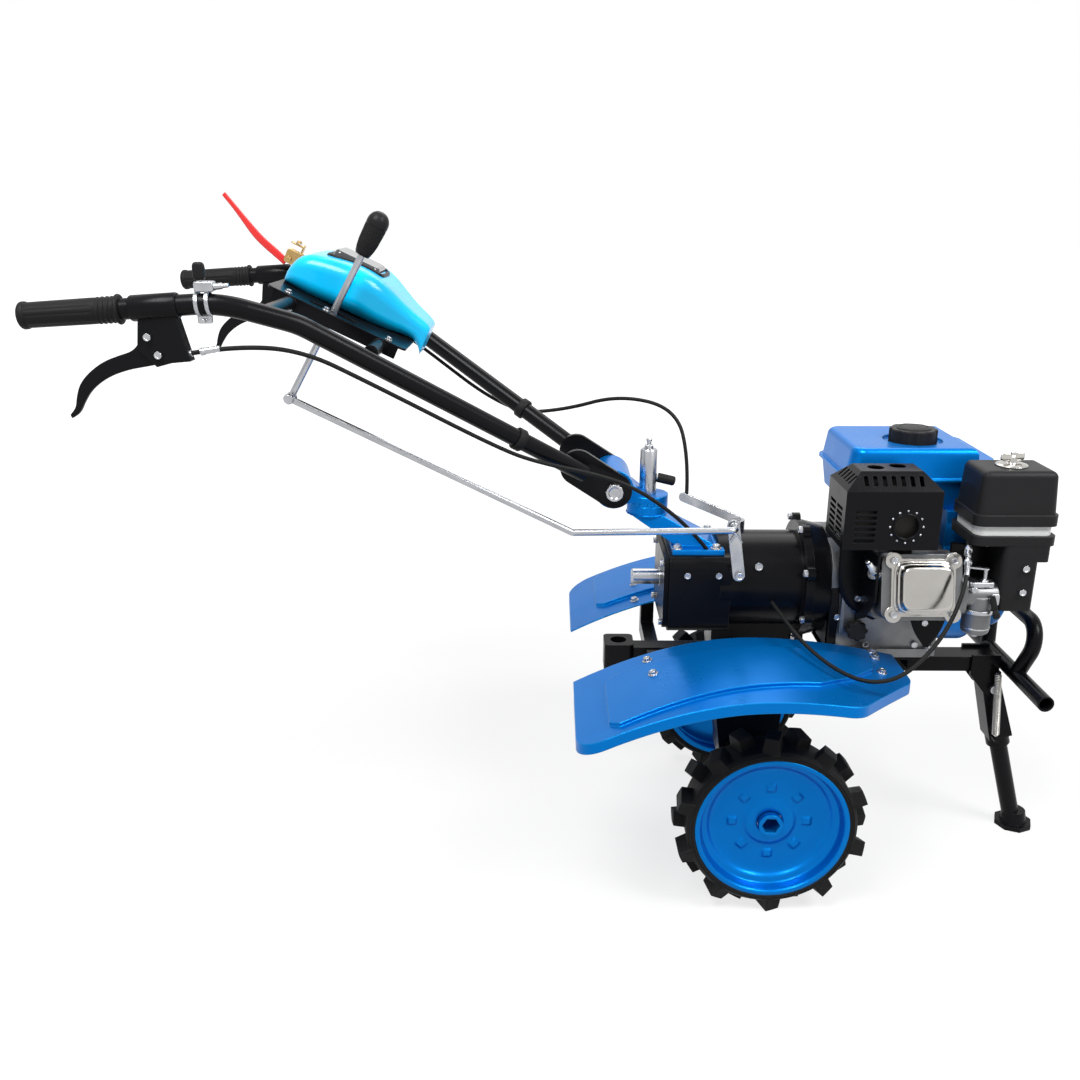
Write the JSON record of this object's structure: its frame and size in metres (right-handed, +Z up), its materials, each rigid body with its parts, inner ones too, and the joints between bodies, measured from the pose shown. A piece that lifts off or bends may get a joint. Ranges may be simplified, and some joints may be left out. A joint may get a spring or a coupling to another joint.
{
  "type": "power weeder",
  "caption": "Walk-behind power weeder with a finned engine on a gearbox, lugged rubber wheels under fenders, a folding front stand and raised handlebars with hand levers.",
  "frame": {"origin": "on the floor below the middle of the machine's overall length, in its middle plane", "axes": "+X forward toward the engine, +Y to the machine's left, +Z up"},
  "size_m": [1.4852, 0.64, 1.044],
  "materials": {
    "blue_paint": "gloss azure blue paint",
    "black_paint": "gloss black paint",
    "cast_alloy": "grey cast alloy",
    "bright_steel": "bright pressed steel",
    "dark_steel": "heat-darkened steel",
    "zinc": "zinc-plated steel",
    "black_plastic": "satin black plastic",
    "pale_plastic": "translucent white plastic",
    "blue_plastic": "gloss light-blue plastic",
    "smoked_window": "smoked clear window",
    "yellow_zinc": "yellow zinc-plated steel",
    "red_plastic": "gloss red plastic",
    "black_rubber": "matt black rubber",
    "tyre": "black tyre rubber"
  },
  "bodies": {
    "chassis": {"gearbox_case": "black_paint", "gearbox_cover": "black_paint", "clutch_bell": "black_paint", "crankcase": "cast_alloy", "cylinder_head": "cast_alloy", "valve_cover": "bright_steel", "fan_housing": "blue_paint", "recoil_starter": "blue_paint", "fuel_tank": "blue_paint", "fuel_cap": "black_plastic", "engine_brackets": "black_paint", "muffler_guard": "black_paint", "muffler": "dark_steel", "air_cleaner_cover": "black_plastic", "air_cleaner_band": "pale_plastic", "air_intake": "black_plastic", "carburettor": "cast_alloy", "engine_frame": "black_paint", "front_hoop": "black_paint", "stand_bracket": "black_paint", "pivot_bolts": "zinc", "rear_hitch": "black_paint", "fender_brackets": "black_paint", "fender_left": "blue_paint", "fender_right": "blue_paint", "handle_neck": "blue_paint", "tilt_head": "blue_paint", "swivel_clamp": "zinc", "shift_arm": "zinc", "clutch_arm": "zinc", "throttle_cable": "black_rubber"},
    "wheel_set": {"axle": "zinc", "wheel_left": "blue_paint", "wheel_right": "blue_paint", "wheel_hubs": "blue_paint", "tyre_left": "tyre", "tyre_right": "tyre"},
    "handlebars": {"handle_tube_left": "black_paint", "handle_tube_right": "black_paint", "grips": "black_rubber", "control_plate": "black_paint", "console": "blue_plastic", "console_window": "smoked_window", "shift_lever": "zinc", "shift_knob": "black_plastic", "shift_rod": "zinc", "lever_brackets": "black_paint", "hand_levers": "black_paint", "throttle": "zinc", "stop_lever": "red_plastic", "stop_bracket": "yellow_zinc", "clutch_cable": "black_rubber", "reverse_cable": "black_rubber"},
    "stand": {"stand_leg": "black_paint", "stand_spring": "zinc"},
    "rear_shaft": {"pto_shaft": "zinc"}
  },
  "joints": [
    {"name": "axle_spin", "type": "hinge", "parent": "chassis", "child": "wheel_set", "pos_m": [0.245, 0, 0.144], "axis": [0, 1, 0], "continuous": true},
    {"name": "handle_tilt", "type": "hinge", "parent": "chassis", "child": "handlebars", "pos_m": [0.011, 0, 0.613], "axis": [0, 1, 0], "range_deg": [-12, 18], "deforming": ["clutch_cable", "reverse_cable"]},
    {"name": "stand_fold", "type": "hinge", "parent": "chassis", "child": "stand", "pos_m": [0.641, 0, 0.272], "axis": [0, 1, 0], "range_deg": [0, 95], "deforming": ["stand_spring"]},
    {"name": "rear_shaft_spin", "type": "hinge", "parent": "chassis", "child": "rear_shaft", "pos_m": [0.067, 0, 0.455], "axis": [1, 0, 0], "continuous": true}
  ]
}
